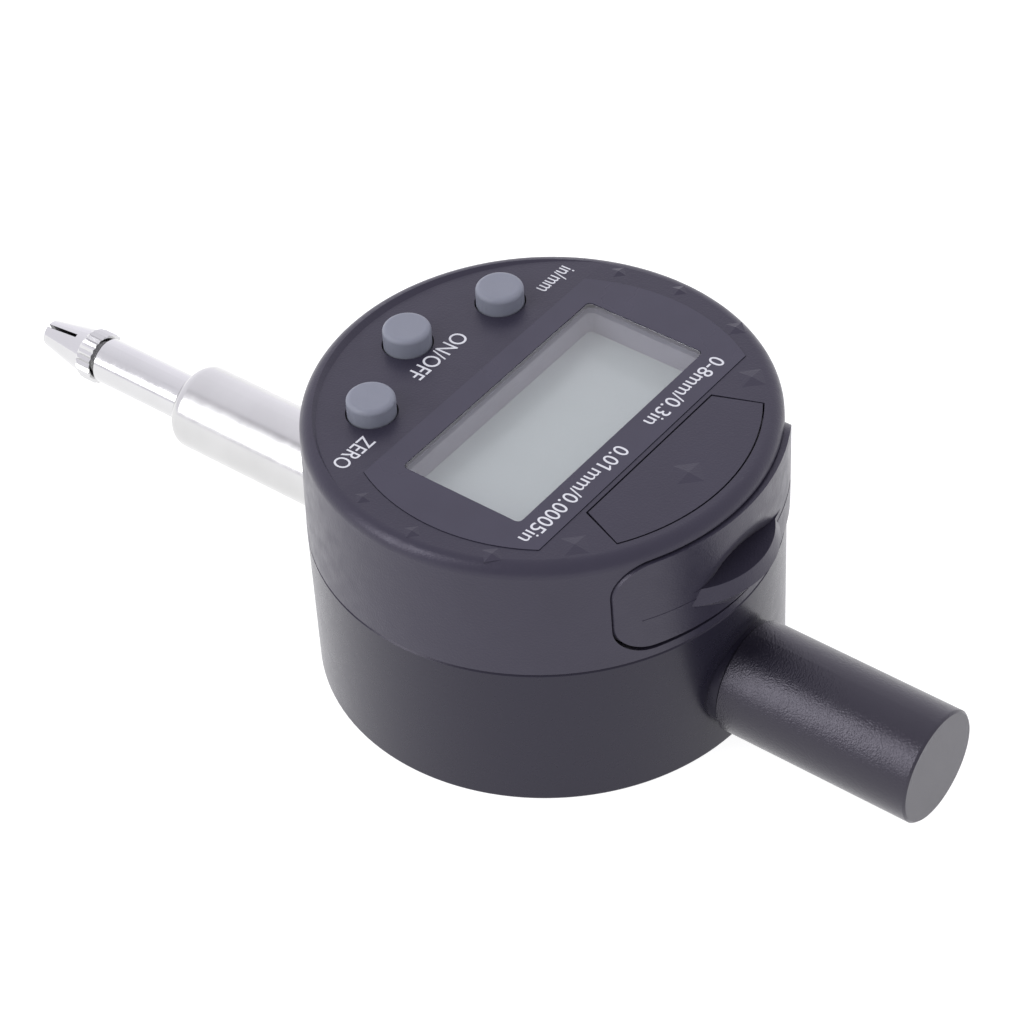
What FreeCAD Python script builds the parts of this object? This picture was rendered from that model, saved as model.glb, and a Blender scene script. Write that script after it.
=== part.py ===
import FreeCAD, Part
import math
import os
from FreeCAD import Vector

# Small digital dial indicator with an 8 mm stem.
#
# Millimetres.  The instrument lies on its back: the origin is the centre of the flat back face,
# +Z comes out of the display, +Y points at the tube that covers the spindle's rear end, and the
# stem and spindle point along -Y.  Each function makes one piece or one group of pieces.

# ---- driving dimensions -------------------------------------------------------------------
BODY_R = 20.5              # outside radius of the back housing
FACE_R = 20.2              # the front housing tapers to this radius at the display face
BODY_H = 26.3              # back face to display face
SEAM_Z = 14.7              # joint between the two housings
WALL_START = -135.0        # degrees about Z at which the round walls start and close
AXIS_Z = 6.2               # height of the spindle axis above the back face
TRAVEL = 8.0               # spindle stroke
STEM_R = 4.0               # clamping stem, 8 mm in diameter
STEM_END_Y = -41.2
SPINDLE_R = 2.2
CAP_R = 5.1                # tube over the spindle's rear end
CAP_END_Y = 39.6
RUNNING_GAP = 0.025        # radial clearance of the spindle in its bushes
FIT_GAP = 0.05             # clearance of parts that push together
LOOSE_GAP = 0.15           # clearance round inserts and covers
OVER = 1.0                 # how far a cutter reaches past the face it opens

# ---- housings -----------------------------------------------------------------------------
FRONT_BORE_R = 18.7        # inside of the front housing's wall
BACK_BORE_R = 18.3         # inside of the back housing's wall
FACE_T = 1.8               # thickness of the display face
FACE_UNDER_Z = BODY_H - FACE_T
TOP_EDGE_R = 1.2
BOTTOM_EDGE_R = 0.2
SEAM_CHAMFER = 0.15        # on the back housing's edge; the front housing's is smaller
SEAM_FRONT_CHAMFER = 0.1
TONGUE_IN_R = 18.95        # tongue of the front housing in the back housing's groove
TONGUE_OUT_R = 19.45
TONGUE_H = 0.8
GROOVE_SPARE = 0.1
COVER_R = 18.75            # back cover disc
COVER_T = 1.2
LEDGE_R = 16.8             # opening of the ledge that the back cover sits on
LEDGE_TOP_Z = 2.0
CASE_SCREW_PLACES = ((13.6, -8.6), (-13.6, -8.6), (12.9, 10.6), (-12.9, 10.6))
CASE_BOSS_R = 1.75
CASE_SCREW_R = 0.8
CASE_SCREW_HEAD_R = 1.5
CASE_SCREW_HEAD_H = 0.75
CASE_SCREW_SINK = 0.05      # the heads lie this far below the back face
CASE_SCREW_TOP_Z = 20.0
SCREW_HOLE_SPARE = 0.5     # blind holes are this much deeper than their screws
DRIVE_HALF = (1.0, 0.16)   # arm of a screw head's cross slot: half length, half width
DRIVE_DEPTH = 0.5

# ---- display face -------------------------------------------------------------------------
LABEL_TOP_Y = 10.7
LABEL_BOTTOM_Y = -6.7
LABEL_TOP_X = 14.5
LABEL_SIDE_X = 17.15
LABEL_SIDE_Y = 2.0
LABEL_BOTTOM_X = 15.2
LABEL_RECESS = 0.08
LABEL_T = 0.15
LABEL_GAP = 0.03
WINDOW = (-12.85, 12.85, -4.5, 7.5)     # x and y limits of the clear window
WINDOW_CORNER_R = 0.5
LENS_LEDGE = 1.3
LENS_T = 0.4
LENS_TOP_Z = BODY_H + 0.03 # raised middle of the window, which fills the label's opening
COLLAR_T = 0.6             # wall of the light tunnel round the display
LCD_HOLDER_T = 1.3
LCD_MARGIN = 0.75          # the glass reaches this far past the window's opening
LCD_TOP_Z = 23.15
LCD_GLASS_T = 0.98
LCD_GAP = 0.1
LCD_TOP_GAP = 0.02
LCD_REAR_SHORT = 0.9       # the rear glass stops short of the front glass
STRIP_INSET = 0.4
STRIP_Y = (0.7, 0.5)
PAD_INSET = 0.6
PAD_Y = (0.2, 1.2)
PLATE_BOTTOM_Y = 11.1      # name plate above the label
PLATE_BOTTOM_X = 8.8
PLATE_SIDE_X = 10.4
PLATE_TOP_R = 18.55
PLATE_RECESS = 0.8
PIP_HEIGHT = 0.15
PIP_FOOT = 0.2             # depth of a pip's foot in the face
FACE_PIPS = ((12.4, 12.7, 1.45), (17.0, 7.9, 1.0), (18.5, 1.0, 0.8), (17.6, -4.8, 0.8))
PLATE_PIP = (0.3, 15.2, 1.6)
BUTTON_ZONE_R = 19.1       # sunken area round the buttons: radius at the face
BUTTON_ZONE_FLOOR_R = 18.6
BUTTON_ZONE_DEPTH = 0.38   # at the rim; the floor rises to the face at the label

# ---- buttons and electronics --------------------------------------------------------------
BUTTONS = {"in_mm": (-8.8, -11.0), "on_off": (0.0, -14.2), "zero": (8.8, -11.0)}
BUTTON_R = 2.1
BUTTON_TOP_Z = BODY_H + 1.6
BUTTON_TRAVEL = 0.5
BUTTON_HOLE_R = 2.25
BUTTON_FLANGE_R = 2.85
BUTTON_FLANGE_Z = (23.4, 24.4)
BUTTON_EDGE_R = 0.45
BUTTON_FOOT_R = 1.5
PLUNGER_R = 1.0
PLUNGER_GAP = 0.1
PLUNGER_Z = (21.7, 22.95)
SWITCH_HALF = 2.2
SWITCH_TOP_Z = 22.3
BOARD_Z = (19.9, 20.8)
BOARD_R = 18.1
BOARD_CHORD_Y = 16.4
BOARD_SCREW_PLACES = ((16.2, 1.0), (-16.2, 1.0), (4.6, -16.2), (-4.6, -16.2))
BOARD_POST_R = 1.25
BOARD_SCREW_R = 0.5
BOARD_SCREW_HEAD_R = 1.1
BOARD_SCREW_HEAD_H = 0.7
BOARD_SCREW_GRIP = 2.5     # length of thread in the post
BOARD_SCREW_PLAY = 0.1
BOSS_GAP = 0.3             # between the screw bosses and the plates that they pass through
CHIP_HALF_X = 3.5
CHIP_Y = (-14.0, -7.0)
CHIP_T = 1.2
FLEX_HALF_X = 3.0
FLEX_T = 0.15
FLEX_RISER_Y = -10.4       # upright run from the sensor board
FLEX_END_Y = -4.6          # where the cable meets the main board
FLEX_ON_SENSOR_Y = -5.0
FLEX_LIFT = 0.65            # height of the upper run above the battery bay

# ---- battery drawer -----------------------------------------------------------------------
BAY_Z = (SEAM_Z, 15.8)
BAY_R = 18.5
FLEX_SLOT_GAP = 0.35
DOOR_HALF_X = 12.3
DOOR_Z = (15.95, 25.0)
DOOR_CORNER_R = 2.95
DOOR_INSIDE_R = 18.85
DOOR_SHIFT = Vector(-0.3, 0.15, 0)      # the door's skin is centred a little off the body's axis
DOOR_GAP_SIDE = 0.15
DOOR_GAP_TOP = 0.2
DOOR_GAP_BOTTOM = 0.4
DOOR_BLANK_Y = 10.0                     # the blocks that the door and its opening are cut from start here
DOOR_OPENING_IN_R = 18.3
LIP_SECTIONS = ((16.1, 2.5, 20.65), (18.4, 6.3, 22.3), (19.8, 5.4, 21.9))  # height, half width, peak
LIP_ROOT_DEPTH = 1.0
CREASE_Z = (18.9, 19.05)                # fine raised line on the door beside the lip
CREASE_X = (5.0, 10.4)
CREASE_PROUD = 0.03
SCOOP_R = 16.0
SCOOP_CENTRE = Vector(0, 33.9, 13.0)
SCOOP_HALF_X = 9.0
SCOOP_EDGE_R = 4.0
BACKING_HALF_X = 5.4                    # block behind the scoop
BACKING_Y = 17.0
BACKING_R = 19.2
BACKING_TOP_Z = 23.2
TRAY_HALF_X = 10.85
TRAY_TOP_Z = 19.4
TRAY_FLOOR_T = 0.45
TRAY_END_R = 19.25                      # the tray ends inside the door's thickness
TRAY_NOTCH_HALF = 3.0                   # gap in the tray for the contact blade
RAIL_T = 0.9                            # side rails of the battery bay
RAIL_GAP = 0.1
RAIL_Y = (-3.0, 7.8)
RAIL_ROOT = 0.5
CELL_R = 10.0
CELL_T = 3.2
CELL_Y = 8.0
CELL_GAP = 0.1
CELL_EDGE_R = 0.3
CELL_STEP = (1.1, 0.35)     # the upper pole face is smaller by this radius and stands this high
LEAF_HALF_X = 1.5          # contact leaf under the main board
LEAF_Y = (0.0, 12.0)
LEAF_PAD_Y = 2.0
LEAF_T = 0.1
BLADE_HALF_X = 2.0         # contact blade behind the cell
BLADE_T = 0.2
BLADE_GAP = 0.3
BLADE_LIFT = 0.6

# ---- spindle and measuring system ---------------------------------------------------------
SPINDLE_FRONT_Y = -52.05
SPINDLE_REAR_Y = 29.0
STEM_REAR_Y = -16.7
STEM_SHOULDER_Y = -20.5    # the stem steps down where it enters the housing's wall
STEM_SHANK_R = 3.7
STEM_BORE_R = 3.0
STEM_MOUTH_R = 2.35
STEM_MOUTH_L = 1.2
STEM_EDGE_R = 1.3
STEM_FLANGE_R = 5.2
STEM_FLANGE_T = 0.7
STEM_BORE_IN_Y = -15.3     # inner end of the housing's hole for the stem
CONTACT_NECK_R = 1.7
KNURL_Y = (-52.3, -54.0)
KNURL_R = 2.5
KNURL_ROOT_R = 2.3
KNURL_TEETH = 26
KNURL_SHOULDER = 0.35
KNURL_SPARE = 0.05
CONE_REAR_R = 2.3
STUD_R = 1.2
STUD_L = 4.5
STUD_HOLE_R = 1.25
STUD_HOLE_L = 5.0
TIP_Y = -59.1
TIP_R = 1.3
SLOT_W = 0.3
SLOT_DEPTH = 3.9
SLOT_TURN = 18.0           # degrees of the tip's slot from upright
ADAPTER_R = 4.75
ADAPTER_REAR_Y = 16.6
ADAPTER_HOLE_Y = 15.3
ADAPTER_THREAD_R = 3.75
ADAPTER_THREAD_L = 5.0
THREAD_SPARE = 0.2
CAP_MOUTH_Y = 20.95
CAP_BORE_R = 3.2
CAP_END_T = 1.3
CAP_EDGE = 0.2
BUFFER_T = 0.8
FRONT_BUSH_L = 9.0
REAR_BUSH_END_Y = 24.0
SPINDLE_EDGE = 0.15
RING_GROOVE_DEPTH = 0.4
RING_GROOVE_Y = (0.1, 0.7)  # from the stem's inner end
RING_R = 3.5
RING_MOUTH_HALF = 1.2
CARRIER_X = 4.2
CARRIER_Y = (-6.0, 8.0)
CARRIER_Z = (2.6, 10.6)
WING_X = 10.2
WING_Y = (-2.2, 0.2)
WING_Z = (8.6, 10.6)
PIN_Y = -1.0
GUIDE_X = 9.0
GUIDE_PIN_R = 0.8
GUIDE_PIN_LIFT = 0.9       # lower end of the pin above the back cover
GUIDE_RAIL_HALF = 1.6
GUIDE_RAIL_H = 3.0
GUIDE_SLOT_LIFT = 0.7      # floor of the rail's slot above the back cover
GUIDE_SLOT_SPARE = 1.0
GUIDE_RAIL_END = 2.0
SPRING_X = -8.5
SPRING_PIN_R = 0.6
SPRING_ANCHOR_Y = -13.0
SPRING_ANCHOR_ROOT = 0.6
SPRING_PIN_REACH = 1.6     # the two posts pass the spring by this much
SPRING_HOOK_GAP = 0.1
SPRING_COIL_R = 1.1
SPRING_WIRE_R = 0.2
SPRING_TURNS = 12
SCALE_Y = (-14.0, 8.0)
SCALE_Z = (10.6, 11.4)
SENSOR_Z = (11.6, 12.4)
SENSOR_SCREW_X = 6.0
SENSOR_SCREW_Y = 7.8
SENSOR_SCREW_R = 0.5
SENSOR_SCREW_HEAD_R = 1.0
SENSOR_SCREW_HEAD_H = 0.7
SENSOR_SCREW_PLAY = 0.1
SENSOR_SCREW_GRIP = 0.5
SENSOR_FOOT_R = 1.2
SENSOR_HALF_X = 7.2
SENSOR_Y = (-6.5, 9.2)
SCALE_HALF_X = 4.8
SET_SCREW_Y = (-4.0, 5.0)
SET_SCREW_R = 0.8
SET_SCREW_GAP = 0.02
SET_SCREW_SLOT = (0.15, 0.5)            # half width and depth

UP = Vector(0, 0, 1)
ALONG_Y = Vector(0, 1, 0)


# ---- small helpers ------------------------------------------------------------------------
def box(x0, x1, y0, y1, z0, z1):
    return Part.makeBox(x1 - x0, y1 - y0, z1 - z0, Vector(x0, y0, z0))


def post(r, z0, z1, x=0.0, y=0.0):
    """Upright cylinder."""
    return Part.makeCylinder(r, z1 - z0, Vector(x, y, z0), UP)


def rod(r, y0, y1, x=0.0, z=AXIS_Z):
    """Cylinder along Y, on the spindle axis unless told otherwise."""
    return Part.makeCylinder(r, y1 - y0, Vector(x, y0, z), ALONG_Y)


def ring(r_out, r_in, z0, z1):
    return post(r_out, z0, z1).cut(post(r_in, z0, z1))


def cone_y(r0, r1, y0, y1):
    """Cone along the spindle axis from radius r0 at y0 to r1 at y1."""
    return Part.makeCone(r0, r1, y1 - y0, Vector(0, y0, AXIS_Z), ALONG_Y)


def sleeve(r_out, r_in, y0, y1):
    return rod(r_out, y0, y1).cut(rod(r_in, y0, y1))


def prism(edges, z0, z1):
    """Upright solid over a closed outline drawn at height 0."""
    solid = Part.Face(Part.Wire(edges)).extrude(Vector(0, 0, z1 - z0))
    solid.translate(Vector(0, 0, z0))
    return solid


def line(a, b):
    return Part.LineSegment(Vector(*a, 0), Vector(*b, 0)).toShape()


def arc(a, mid, b):
    return Part.Arc(Vector(*a, 0), Vector(*mid, 0), Vector(*b, 0)).toShape()


def rounded_box(x0, x1, y0, y1, z0, z1, r):
    """Box whose upright edges are rounded."""
    solid = box(x0, x1, y0, y1, z0, z1)
    upright = [e for e in solid.Edges if abs(e.tangentAt(e.FirstParameter).z) > 0.99]
    return solid.makeFillet(r, upright)


def rounded_box_y(half_x, z0, z1, y0, y1, r):
    """Box whose edges along Y are rounded."""
    solid = box(-half_x, half_x, y0, y1, z0, z1)
    along = [e for e in solid.Edges if abs(e.tangentAt(e.FirstParameter).y) > 0.99]
    return solid.makeFillet(r, along)


def rim_edges(solid, radius, z):
    """The circular edges of one radius at one height."""
    return [
        e for e in solid.Edges
        if abs(e.BoundBox.ZMin - z) < 1e-4 and abs(e.BoundBox.ZMax - z) < 1e-4
        and hasattr(e.Curve, "Radius") and abs(e.Curve.Radius - radius) < 1e-4
    ]


def cone_z(r0, r1, z0, z1, x=0.0, y=0.0):
    """Upright cone from radius r0 at z0 to r1 at z1."""
    return Part.makeCone(r0, r1, z1 - z0, Vector(x, y, z0), UP)


def fuse_all(shapes):
    whole = shapes[0]
    for shape in shapes[1:]:
        whole = whole.fuse(shape)
    return whole.removeSplitter()


def cut_all(solid, tools):
    for tool in tools:
        solid = solid.cut(tool)
    return solid


def wall_y(x, r=BODY_R):
    """Y of the round wall at a given x, on the tube's side."""
    return math.sqrt(r * r - x * x)


# ---- outlines on the display face ---------------------------------------------------------
def label_prism(inset, z0, z1):
    """The label's outline: straight top and bottom, bowed sides."""
    top = LABEL_TOP_Y - inset
    low = LABEL_BOTTOM_Y + inset
    top_x = LABEL_TOP_X - inset
    side_x = LABEL_SIDE_X - inset
    low_x = LABEL_BOTTOM_X - inset
    edges = [
        line((-top_x, top), (top_x, top)),
        arc((top_x, top), (side_x, LABEL_SIDE_Y), (low_x, low)),
        line((low_x, low), (-low_x, low)),
        arc((-low_x, low), (-side_x, LABEL_SIDE_Y), (-top_x, top)),
    ]
    return prism(edges, z0, z1)


def plate_prism(inset, z0, z1):
    """The name plate's outline: straight bottom, sloping sides and a top that follows the rim."""
    low = PLATE_BOTTOM_Y + inset
    low_x = PLATE_BOTTOM_X - inset
    side_x = PLATE_SIDE_X - inset
    top_r = PLATE_TOP_R - inset
    side_y = math.sqrt(top_r ** 2 - side_x ** 2)
    edges = [
        line((-low_x, low), (low_x, low)),
        line((low_x, low), (side_x, side_y)),
        arc((side_x, side_y), (0, top_r), (-side_x, side_y)),
        line((-side_x, side_y), (-low_x, low)),
    ]
    return prism(edges, z0, z1)


def window_prism(grow, z0, z1):
    x0, x1, y0, y1 = WINDOW
    r = WINDOW_CORNER_R + max(grow, 0)
    return rounded_box(x0 - grow, x1 + grow, y0 - grow, y1 + grow, z0, z1, r)


def pip(x, y, half, z):
    """Low four-sided pyramid moulded on a face, on a foot that sinks into the face."""
    corners = [Vector(x + half, y, z), Vector(x, y + half, z), Vector(x - half, y, z), Vector(x, y - half, z)]
    down = Vector(0, 0, -PIP_FOOT)
    top = Vector(x, y, z + PIP_HEIGHT)
    foot = [corner + down for corner in corners]
    faces = [Part.Face(Part.makePolygon(foot + foot[:1]))]
    for a, b in zip(corners, corners[1:] + corners[:1]):
        faces.append(Part.Face(Part.makePolygon([a, b, top, a])))
        faces.append(Part.Face(Part.makePolygon([a, b, b + down, a + down, a])))
    solid = Part.makeSolid(Part.makeShell(faces))
    solid.fix(1e-6, 1e-6, 1e-6)
    return solid


# ---- housings -----------------------------------------------------------------------------
def button_zone():
    """Cutter for the sunken area round the buttons: a sloping floor inside a sloping rim."""
    start_y = LABEL_BOTTOM_Y
    fall = BUTTON_ZONE_DEPTH / (BUTTON_ZONE_FLOOR_R + start_y)
    far_z = BODY_H - fall * (BODY_R + start_y)
    above = BODY_H + OVER
    profile = Part.makePolygon([
        Vector(-BODY_R, start_y, BODY_H), Vector(-BODY_R, -BODY_R, far_z), Vector(-BODY_R, -BODY_R, above),
        Vector(-BODY_R, start_y, above), Vector(-BODY_R, start_y, BODY_H)])
    wedge = Part.Face(profile).extrude(Vector(2 * BODY_R, 0, 0))
    spread = (BUTTON_ZONE_R - BUTTON_ZONE_FLOOR_R) / BUTTON_ZONE_DEPTH
    low = BODY_H - OVER
    return wedge.common(cone_z(BUTTON_ZONE_R - spread * OVER, BUTTON_ZONE_R + spread * OVER, low, above))


def door_opening():
    """Cutter through the wall for the battery drawer."""
    hole = rounded_box_y(DOOR_HALF_X + DOOR_GAP_SIDE, DOOR_Z[0] - DOOR_GAP_BOTTOM, DOOR_Z[1] + DOOR_GAP_TOP,
                         DOOR_BLANK_Y, BODY_R + OVER, DOOR_CORNER_R + DOOR_GAP_SIDE)
    return hole.cut(post(DOOR_OPENING_IN_R, 0, BODY_H + OVER))


def front_housing():
    shell = cone_z(BODY_R, FACE_R, SEAM_Z, BODY_H)
    shell.rotate(Vector(0, 0, 0), UP, WALL_START)
    shell = shell.makeFillet(TOP_EDGE_R, rim_edges(shell, FACE_R, BODY_H))
    shell = shell.makeChamfer(SEAM_FRONT_CHAMFER, rim_edges(shell, BODY_R, SEAM_Z))
    shell = shell.cut(post(FRONT_BORE_R, SEAM_Z, FACE_UNDER_Z))
    bosses = [post(CASE_BOSS_R, SEAM_Z, FACE_UNDER_Z, x, y) for x, y in CASE_SCREW_PLACES]
    posts = [post(BOARD_POST_R, BOARD_Z[1], FACE_UNDER_Z, x, y) for x, y in BOARD_SCREW_PLACES]
    tongue = ring(TONGUE_OUT_R, TONGUE_IN_R, SEAM_Z - TONGUE_H, SEAM_Z)
    shell = fuse_all([shell, tongue] + bosses + posts)
    above = BODY_H + OVER
    recess_z = BODY_H - LABEL_RECESS
    cutters = [
        label_prism(0, recess_z, above),
        window_prism(LENS_LEDGE, recess_z - LENS_T, BODY_H),
        window_prism(COLLAR_T + FIT_GAP, FACE_UNDER_Z - OVER, BODY_H),
        plate_prism(0, BODY_H - PLATE_RECESS, above),
        button_zone(),
        door_opening(),
    ]
    cutters += [post(BUTTON_HOLE_R, FACE_UNDER_Z - OVER, above, x, y) for x, y in BUTTONS.values()]
    cutters += [post(CASE_SCREW_R, SEAM_Z - OVER, CASE_SCREW_TOP_Z + SCREW_HOLE_SPARE, x, y)
                for x, y in CASE_SCREW_PLACES]
    cutters += [post(BOARD_SCREW_R, BOARD_Z[1] - OVER, FACE_UNDER_Z, x, y)
                for x, y in BOARD_SCREW_PLACES]
    shell = cut_all(shell, cutters)
    pips = [pip(side * x, y, half, BODY_H) for x, y, half in FACE_PIPS for side in (1, -1)]
    return fuse_all([shell] + pips)


def back_housing():
    shell = post(BODY_R, 0, SEAM_Z)
    shell.rotate(Vector(0, 0, 0), UP, WALL_START)
    shell = shell.makeFillet(BOTTOM_EDGE_R, rim_edges(shell, BODY_R, 0))
    shell = shell.makeChamfer(SEAM_CHAMFER, rim_edges(shell, BODY_R, SEAM_Z))
    shell = cut_all(shell, [
        post(COVER_R + FIT_GAP, -OVER, COVER_T),
        post(LEDGE_R, 0, LEDGE_TOP_Z),
        post(BACK_BORE_R, LEDGE_TOP_Z, SEAM_Z),
        ring(TONGUE_OUT_R + FIT_GAP, TONGUE_IN_R - FIT_GAP, SEAM_Z - TONGUE_H - GROOVE_SPARE, SEAM_Z),
    ])
    bosses = [post(CASE_BOSS_R, COVER_T, SEAM_Z, x, y) for x, y in CASE_SCREW_PLACES]
    shell = fuse_all([shell] + bosses)
    cutters = [
        rod(STEM_SHANK_R, -BODY_R - OVER, STEM_BORE_IN_Y),
        rod(ADAPTER_R, ADAPTER_HOLE_Y, BODY_R + OVER),
    ]
    cutters += [post(CASE_SCREW_R + FIT_GAP, 0, SEAM_Z + OVER, x, y) for x, y in CASE_SCREW_PLACES]
    return cut_all(shell, cutters)


def back_cover():
    """Disc that closes the back, with the slotted rail that keeps the spindle from turning."""
    disc = post(COVER_R, 0, COVER_T)
    slot_y = (PIN_Y - GUIDE_PIN_R - GUIDE_SLOT_SPARE, PIN_Y + TRAVEL + GUIDE_PIN_R + GUIDE_SLOT_SPARE)
    slot_half = GUIDE_PIN_R + RUNNING_GAP
    rail_top = COVER_T + GUIDE_RAIL_H
    rail = box(GUIDE_X - GUIDE_RAIL_HALF, GUIDE_X + GUIDE_RAIL_HALF,
               slot_y[0] - GUIDE_RAIL_END, slot_y[1] + GUIDE_RAIL_END, COVER_T, rail_top)
    slot = box(GUIDE_X - slot_half, GUIDE_X + slot_half, *slot_y, COVER_T + GUIDE_SLOT_LIFT, rail_top + OVER)
    cover = fuse_all([disc, rail]).cut(slot)
    hole_r = CASE_SCREW_R + FIT_GAP
    for x, y in CASE_SCREW_PLACES:
        hole = post(hole_r, -OVER, COVER_T + OVER, x, y)
        sink = cone_z(CASE_SCREW_HEAD_R + FIT_GAP, hole_r, 0, CASE_SCREW_HEAD_H + CASE_SCREW_SINK, x, y)
        cover = cut_all(cover, [hole, sink])
    anchor_hole = post(SPRING_PIN_R, COVER_T - SPRING_ANCHOR_ROOT, COVER_T + OVER, SPRING_X, SPRING_ANCHOR_Y)
    return cover.cut(anchor_hole)


def case_screws():
    screws = []
    for x, y in CASE_SCREW_PLACES:
        neck_z = CASE_SCREW_SINK + CASE_SCREW_HEAD_H
        head = cone_z(CASE_SCREW_HEAD_R, CASE_SCREW_R, CASE_SCREW_SINK, neck_z, x, y)
        shank = post(CASE_SCREW_R, CASE_SCREW_SINK, CASE_SCREW_TOP_Z, x, y)
        screw = fuse_all([head, shank])
        for half_x, half_y in (DRIVE_HALF, DRIVE_HALF[::-1]):
            screw = screw.cut(box(x - half_x, x + half_x, y - half_y, y + half_y, 0, DRIVE_DEPTH))
        screws.append(screw)
    return Part.makeCompound(screws)


# ---- display ------------------------------------------------------------------------------
def face_label():
    """Printed sheet in the face's shallow recess; its edge stands a little proud."""
    z0 = BODY_H - LABEL_RECESS
    sheet = label_prism(LABEL_GAP, z0, z0 + LABEL_T)
    return sheet.cut(window_prism(0, z0, BODY_H + OVER))


def window_lens():
    """Clear window: a flange under the label and a raised middle in the label's opening."""
    flange_top = BODY_H - LABEL_RECESS
    flange = window_prism(LENS_LEDGE - FIT_GAP, flange_top - LENS_T, flange_top)
    middle = window_prism(-FIT_GAP, flange_top - LENS_T, LENS_TOP_Z)
    return fuse_all([flange, middle])


def lcd_frame():
    """Light tunnel and holder of the display glass."""
    block = window_prism(LCD_HOLDER_T, BOARD_Z[1], FACE_UNDER_Z - FIT_GAP)
    collar = window_prism(COLLAR_T, FACE_UNDER_Z - OVER, BODY_H - LABEL_RECESS - LENS_T)
    holder = fuse_all([block, collar])
    return cut_all(holder, [
        window_prism(0, BOARD_Z[1], BODY_H),
        window_prism(LCD_MARGIN + LCD_GAP, BOARD_Z[1], LCD_TOP_Z + LCD_TOP_GAP),
    ])


def lcd_panel():
    """Two glass plates; the front one overhangs to carry the contact strip's pads."""
    front = window_prism(LCD_MARGIN, LCD_TOP_Z - LCD_GLASS_T, LCD_TOP_Z)
    x0, x1, y0, y1 = WINDOW
    rear = rounded_box(x0 - LCD_MARGIN, x1 + LCD_MARGIN, y0 - LCD_MARGIN, y1 - LCD_REAR_SHORT,
                       LCD_TOP_Z - 2 * LCD_GLASS_T, LCD_TOP_Z - LCD_GLASS_T, WINDOW_CORNER_R + LCD_MARGIN)
    return fuse_all([front, rear])


def lcd_contact_strip():
    """Rubber strip that joins the overhanging glass to the main board."""
    x0, x1, _, y1 = WINDOW
    return box(x0 + STRIP_INSET, x1 - STRIP_INSET, y1 - STRIP_Y[0], y1 + STRIP_Y[1],
               BOARD_Z[1], LCD_TOP_Z - LCD_GLASS_T)


def lcd_backing_pad():
    x0, x1, y0, y1 = WINDOW
    return box(x0 + PAD_INSET, x1 - PAD_INSET, y0 + PAD_Y[0], y1 - PAD_Y[1],
               BOARD_Z[1], LCD_TOP_Z - 2 * LCD_GLASS_T)


def name_plate():
    plate = plate_prism(LOOSE_GAP, BODY_H - PLATE_RECESS, BODY_H)
    x, y, half = PLATE_PIP
    return fuse_all([plate, pip(x, y, half, BODY_H)])


# ---- buttons and electronics --------------------------------------------------------------
def button(x, y):
    cap = post(BUTTON_R, BUTTON_FLANGE_Z[0], BUTTON_TOP_Z, x, y)
    cap = cap.makeFillet(BUTTON_EDGE_R, rim_edges(cap, BUTTON_R, BUTTON_TOP_Z))
    flange = post(BUTTON_FLANGE_R, *BUTTON_FLANGE_Z, x, y)
    foot = post(BUTTON_FOOT_R, PLUNGER_Z[1], BUTTON_FLANGE_Z[0], x, y)
    return fuse_all([cap, flange, foot])


def switch_plunger(x, y):
    return post(PLUNGER_R, PLUNGER_Z[0], PLUNGER_Z[1], x, y)


def switch_bodies():
    """Switch under each key, with a well as deep as the key's travel."""
    well_z = PLUNGER_Z[0] - BUTTON_TRAVEL - FIT_GAP
    switches = []
    for x, y in BUTTONS.values():
        base = box(x - SWITCH_HALF, x + SWITCH_HALF, y - SWITCH_HALF, y + SWITCH_HALF,
                   BOARD_Z[1], SWITCH_TOP_Z)
        switches.append(base.cut(post(PLUNGER_R + PLUNGER_GAP, well_z, SWITCH_TOP_Z + OVER, x, y)))
    return Part.makeCompound(switches)


def main_board():
    board = post(BOARD_R, *BOARD_Z)
    board = board.cut(box(-BODY_R, BODY_R, BOARD_CHORD_Y, BODY_R, *BOARD_Z))
    cutters = [post(CASE_BOSS_R + BOSS_GAP, *BOARD_Z, x, y) for x, y in CASE_SCREW_PLACES]
    cutters += [post(BOARD_SCREW_R + BOARD_SCREW_PLAY, *BOARD_Z, x, y) for x, y in BOARD_SCREW_PLACES]
    return cut_all(board, cutters)


def board_screws():
    screws = []
    low = BOARD_Z[0] - BOARD_SCREW_HEAD_H
    for x, y in BOARD_SCREW_PLACES:
        head = post(BOARD_SCREW_HEAD_R, low, BOARD_Z[0], x, y)
        shank = post(BOARD_SCREW_R, low, BOARD_Z[1] + BOARD_SCREW_GRIP, x, y)
        screws.append(fuse_all([head, shank]))
    return Part.makeCompound(screws)


def controller_chip():
    return box(-CHIP_HALF_X, CHIP_HALF_X, *CHIP_Y, BOARD_Z[0] - CHIP_T, BOARD_Z[0])


def flex_cable():
    """Folded strip from the sensor board up to the main board."""
    half = FLEX_HALF_X
    riser_y = FLEX_RISER_Y
    run_z = BAY_Z[1] + FLEX_LIFT
    flat = box(-half, half, riser_y, FLEX_ON_SENSOR_Y, SENSOR_Z[1], SENSOR_Z[1] + FLEX_T)
    riser = box(-half, half, riser_y, riser_y + FLEX_T, SENSOR_Z[1], run_z + FLEX_T)
    run = box(-half, half, riser_y, FLEX_END_Y, run_z, run_z + FLEX_T)
    end = box(-half, half, FLEX_END_Y - FLEX_T, FLEX_END_Y, run_z, BOARD_Z[0])
    return fuse_all([flat, riser, run, end])


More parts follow.
